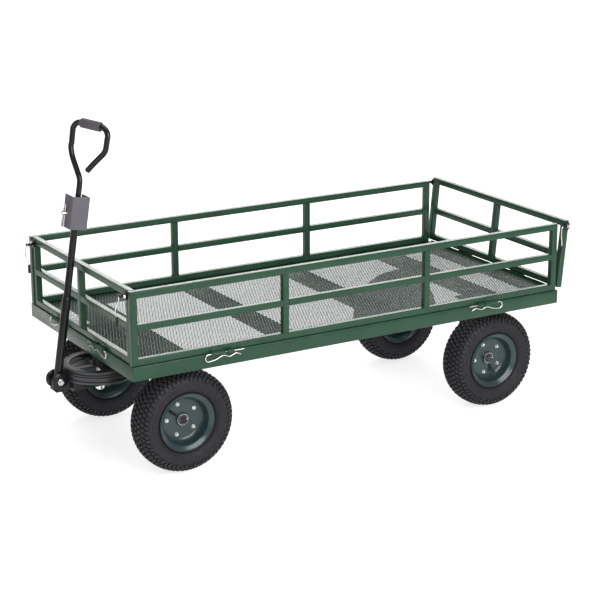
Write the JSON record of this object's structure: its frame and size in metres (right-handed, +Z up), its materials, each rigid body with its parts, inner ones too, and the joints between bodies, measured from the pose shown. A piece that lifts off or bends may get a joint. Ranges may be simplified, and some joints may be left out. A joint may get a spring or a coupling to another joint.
{
  "type": "tow behind cart",
  "caption": "Flat-bed garden tow cart with a mesh deck, fold-down rail panels, pneumatic wheels and a steering handle that hitches to a tractor.",
  "frame": {"origin": "on the ground, under the middle of the cart's full length and width", "axes": "+Y towards the tail, -Y towards the handle, +X the cart's left side, +Z up"},
  "size_m": [0.776, 1.6686, 1.0344],
  "materials": {
    "frame_paint": "dark green gloss powder coat",
    "mesh_paint": "dark green powder coat on expanded metal",
    "rim": "dark teal-green gloss enamel",
    "black_paint": "gloss black powder coat",
    "clevis_paint": "satin dark grey paint",
    "tyre": "black knobby tread rubber",
    "foam": "dark grey foam rubber",
    "zinc": "bright zinc plate",
    "steel": "bare machined steel"
  },
  "bodies": {
    "root": {"deck_frame": "frame_paint", "mesh_deck": "mesh_paint", "turntable_upper_race": "black_paint", "kingpin_bolt": "zinc", "kingpin_nut": "zinc", "front_axle_beam": "frame_paint", "rear_axle_fork_left": "frame_paint", "rear_axle_fork_right": "frame_paint", "rear_stub_axle_left": "steel", "rear_stub_axle_right": "steel", "rear_left_retainer": "zinc", "rear_right_retainer": "zinc"},
    "left_panel": {"left_panel": "frame_paint"},
    "right_panel": {"right_panel": "frame_paint"},
    "front_panel": {"front_panel": "frame_paint", "front_latch_left_eye": "black_paint", "front_latch_right_eye": "black_paint"},
    "rear_panel": {"rear_panel": "frame_paint", "rear_latch_left_eye": "black_paint", "rear_latch_right_eye": "black_paint"},
    "yoke": {"steering_yoke": "black_paint", "turntable_lower_race": "black_paint", "handle_pivot_bolt": "zinc", "tie_rod_pin": "zinc"},
    "tie_rod_left": {"tie_rod_left": "steel"},
    "tie_rod_right": {"tie_rod_right": "steel"},
    "knuckle_left": {"steering_knuckle_left": "black_paint", "front_left_retainer": "zinc"},
    "knuckle_right": {"steering_knuckle_right": "black_paint", "front_right_retainer": "zinc"},
    "tow_bar": {"tow_tube": "black_paint", "hitch_clevis": "clevis_paint", "hitch_pin": "zinc"},
    "grip": {"grip_loop": "black_paint", "foam_grip": "foam"},
    "hitch_clip": {"hitch_clip": "zinc"},
    "front_left_wheel": {"front_left_tyre": "tyre", "front_left_rim": "rim", "front_left_bearing": "steel"},
    "rear_left_wheel": {"rear_left_tyre": "tyre", "rear_left_rim": "rim", "rear_left_bearing": "steel"},
    "front_right_wheel": {"front_right_tyre": "tyre", "front_right_rim": "rim", "front_right_bearing": "steel"},
    "rear_right_wheel": {"rear_right_tyre": "tyre", "rear_right_rim": "rim", "rear_right_bearing": "steel"},
    "left_clip_a": {"left_clip_a": "zinc"},
    "left_clip_b": {"left_clip_b": "zinc"},
    "right_clip_a": {"right_clip_a": "zinc"},
    "right_clip_b": {"right_clip_b": "zinc"},
    "front_clip_a": {"front_clip_a": "zinc"},
    "front_clip_b": {"front_clip_b": "zinc"},
    "rear_clip_a": {"rear_clip_a": "zinc"},
    "rear_clip_b": {"rear_clip_b": "zinc"},
    "front_latch_left_lever": {"front_latch_left_lever": "zinc"},
    "front_latch_right_lever": {"front_latch_right_lever": "zinc"},
    "rear_latch_left_lever": {"rear_latch_left_lever": "zinc"},
    "rear_latch_right_lever": {"rear_latch_right_lever": "zinc"}
  },
  "joints": [
    {"name": "left_panel_fold", "type": "hinge", "parent": "root", "child": "left_panel", "pos_m": [0.381, 0, 0.383], "axis": [0, 1, 0], "range_deg": [0, 180]},
    {"name": "right_panel_fold", "type": "hinge", "parent": "root", "child": "right_panel", "pos_m": [-0.381, 0, 0.383], "axis": [0, -1, 0], "range_deg": [0, 180]},
    {"name": "front_panel_fold", "type": "hinge", "parent": "root", "child": "front_panel", "pos_m": [0, -0.7363, 0.383], "axis": [1, 0, 0], "range_deg": [0, 2]},
    {"name": "rear_panel_fold", "type": "hinge", "parent": "root", "child": "rear_panel", "pos_m": [0, 0.7997, 0.383], "axis": [-1, 0, 0], "range_deg": [-5.5, 108]},
    {"name": "steer", "type": "hinge", "parent": "root", "child": "yoke", "pos_m": [0, -0.6683, 0.25], "axis": [0, 0, 1], "range_deg": [-25, 25]},
    {"name": "tie_rod_left_pivot", "type": "hinge", "parent": "yoke", "child": "tie_rod_left", "pos_m": [0, -0.6083, 0.235], "axis": [0, 0, 1], "range_deg": [-25, 25]},
    {"name": "knuckle_left_pivot", "type": "hinge", "parent": "root", "child": "knuckle_left", "pos_m": [0.185, -0.5288, 0.25], "axis": [0, 0, 1], "range_deg": [-25, 25]},
    {"name": "tie_rod_right_pivot", "type": "hinge", "parent": "yoke", "child": "tie_rod_right", "pos_m": [0, -0.6083, 0.235], "axis": [0, 0, 1], "range_deg": [-25, 25]},
    {"name": "knuckle_right_pivot", "type": "hinge", "parent": "root", "child": "knuckle_right", "pos_m": [-0.185, -0.5288, 0.25], "axis": [0, 0, 1], "range_deg": [-25, 25]},
    {"name": "front_left_wheel_spin", "type": "hinge", "parent": "knuckle_left", "child": "front_left_wheel", "pos_m": [0.2736, -0.5288, 0.1587], "axis": [1, 0, 0], "continuous": true},
    {"name": "rear_left_wheel_spin", "type": "hinge", "parent": "root", "child": "rear_left_wheel", "pos_m": [0.2736, 0.5922, 0.1587], "axis": [1, 0, 0], "continuous": true},
    {"name": "front_right_wheel_spin", "type": "hinge", "parent": "knuckle_right", "child": "front_right_wheel", "pos_m": [-0.2736, -0.5288, 0.1587], "axis": [1, 0, 0], "continuous": true},
    {"name": "rear_right_wheel_spin", "type": "hinge", "parent": "root", "child": "rear_right_wheel", "pos_m": [-0.2736, 0.5922, 0.1587], "axis": [1, 0, 0], "continuous": true},
    {"name": "tow_bar_pitch", "type": "hinge", "parent": "yoke", "child": "tow_bar", "pos_m": [0, -0.8063, 0.249], "axis": [1, 0, 0], "range_deg": [0, 95]},
    {"name": "grip_fold", "type": "hinge", "parent": "tow_bar", "child": "grip", "pos_m": [0, -0.72462, 0.75444], "axis": [0, -0.9872, 0.1595], "range_deg": [0, 100]},
    {"name": "hitch_clip_pull", "type": "slide", "parent": "tow_bar", "child": "hitch_clip", "axis": [0, -0.1595, -0.9872], "range_m": [0, 0.055]},
    {"name": "left_clip_a_pull", "type": "slide", "parent": "root", "child": "left_clip_a", "axis": [0, 1, 0], "range_m": [0, 0.11]},
    {"name": "left_clip_b_pull", "type": "slide", "parent": "root", "child": "left_clip_b", "axis": [0, -1, 0], "range_m": [0, 0.11]},
    {"name": "right_clip_a_pull", "type": "slide", "parent": "root", "child": "right_clip_a", "axis": [0, -1, 0], "range_m": [0, 0.11]},
    {"name": "right_clip_b_pull", "type": "slide", "parent": "root", "child": "right_clip_b", "axis": [0, 1, 0], "range_m": [0, 0.11]},
    {"name": "front_clip_a_pull", "type": "slide", "parent": "root", "child": "front_clip_a", "axis": [1, 0, 0], "range_m": [0, 0.11]},
    {"name": "front_clip_b_pull", "type": "slide", "parent": "root", "child": "front_clip_b", "axis": [-1, 0, 0], "range_m": [0, 0.11]},
    {"name": "rear_clip_a_pull", "type": "slide", "parent": "root", "child": "rear_clip_a", "axis": [-1, 0, 0], "range_m": [0, 0.11]},
    {"name": "rear_clip_b_pull", "type": "slide", "parent": "root", "child": "rear_clip_b", "axis": [1, 0, 0], "range_m": [0, 0.11]},
    {"name": "front_latch_left_swing", "type": "hinge", "parent": "front_panel", "child": "front_latch_left_lever", "pos_m": [0.3366, -0.7519, 0.587], "axis": [-1, 0, 0], "range_deg": [-3, 150]},
    {"name": "front_latch_right_swing", "type": "hinge", "parent": "front_panel", "child": "front_latch_right_lever", "pos_m": [-0.3366, -0.7519, 0.587], "axis": [-1, 0, 0], "range_deg": [-3, 150]},
    {"name": "rear_latch_left_swing", "type": "hinge", "parent": "rear_panel", "child": "rear_latch_left_lever", "pos_m": [0.3835, 0.82197, 0.59343], "axis": [0, -0.9954, 0.0958], "range_deg": [-3, 150]},
    {"name": "rear_latch_right_swing", "type": "hinge", "parent": "rear_panel", "child": "rear_latch_right_lever", "pos_m": [-0.3835, 0.82197, 0.59343], "axis": [0, 0.9954, -0.0958], "range_deg": [-3, 150]}
  ],
  "couplings": [
    {"joint": "tie_rod_left_pivot", "follows": "steer", "ratio": -1},
    {"joint": "knuckle_left_pivot", "follows": "steer", "ratio": 1},
    {"joint": "tie_rod_right_pivot", "follows": "steer", "ratio": -1},
    {"joint": "knuckle_right_pivot", "follows": "steer", "ratio": 1}
  ]
}
